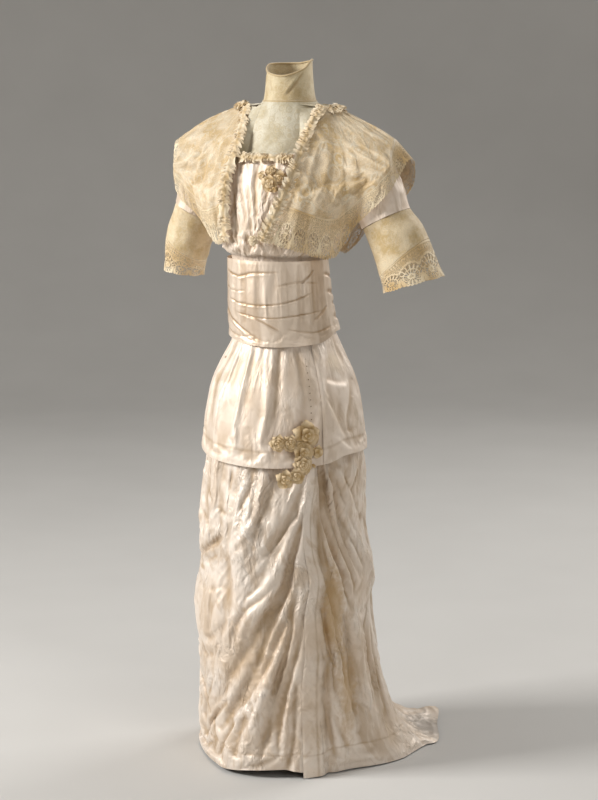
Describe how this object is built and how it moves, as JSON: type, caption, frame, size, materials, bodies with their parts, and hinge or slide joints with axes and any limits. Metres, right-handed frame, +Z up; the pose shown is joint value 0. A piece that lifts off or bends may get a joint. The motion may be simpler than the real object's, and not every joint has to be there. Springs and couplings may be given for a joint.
{
  "type": "wedding dress",
  "caption": "Draped satin wedding dress with net over-bodice, lace borders, high net collar, wide sash, short overskirt, cloth flowers and a small square-ended train.",
  "frame": {"origin": "middle of the dress's shoulder line, where the wearer's shoulders hold it up", "axes": "+Z up along the length of the dress, the front faces -Y, the wearer's left is +X"},
  "size_m": [0.5959, 0.5152, 1.3936],
  "materials": {
    "satin": "soft aged silk satin",
    "sash": "soft silk satin, a little darker",
    "net": "fine matt cotton net",
    "yoke": "fine stiffened net",
    "lace": "matt needle-run lace",
    "ruche": "gathered silk chiffon",
    "flower": "folded silk ribbon"
  },
  "bodies": {
    "root": {"skirt_right": "satin", "skirt_left": "satin", "skirt_back": "satin", "overskirt_right": "satin", "overskirt_left": "satin", "bodice_front": "satin", "bodice_back": "satin", "satin_sleeve_left": "satin", "satin_sleeve_right": "satin", "sash": "sash", "collar": "yoke", "chemisette": "yoke", "net_sleeve_left": "net", "net_sleeve_right": "net", "bolero_left": "net", "bolero_right": "net", "bolero_back": "net", "cuff_left_outer": "lace", "cuff_left_inner": "lace", "cuff_right_outer": "lace", "cuff_right_inner": "lace", "lace_edge_left": "lace", "lace_edge_right": "lace", "lace_edge_back": "lace", "ruffle_left": "ruche", "ruffle_right": "ruche", "ruffle_neck": "ruche", "ruffle_back": "ruche", "corsage_neck": "flower", "corsage_skirt": "flower"}
  },
  "joints": []
}
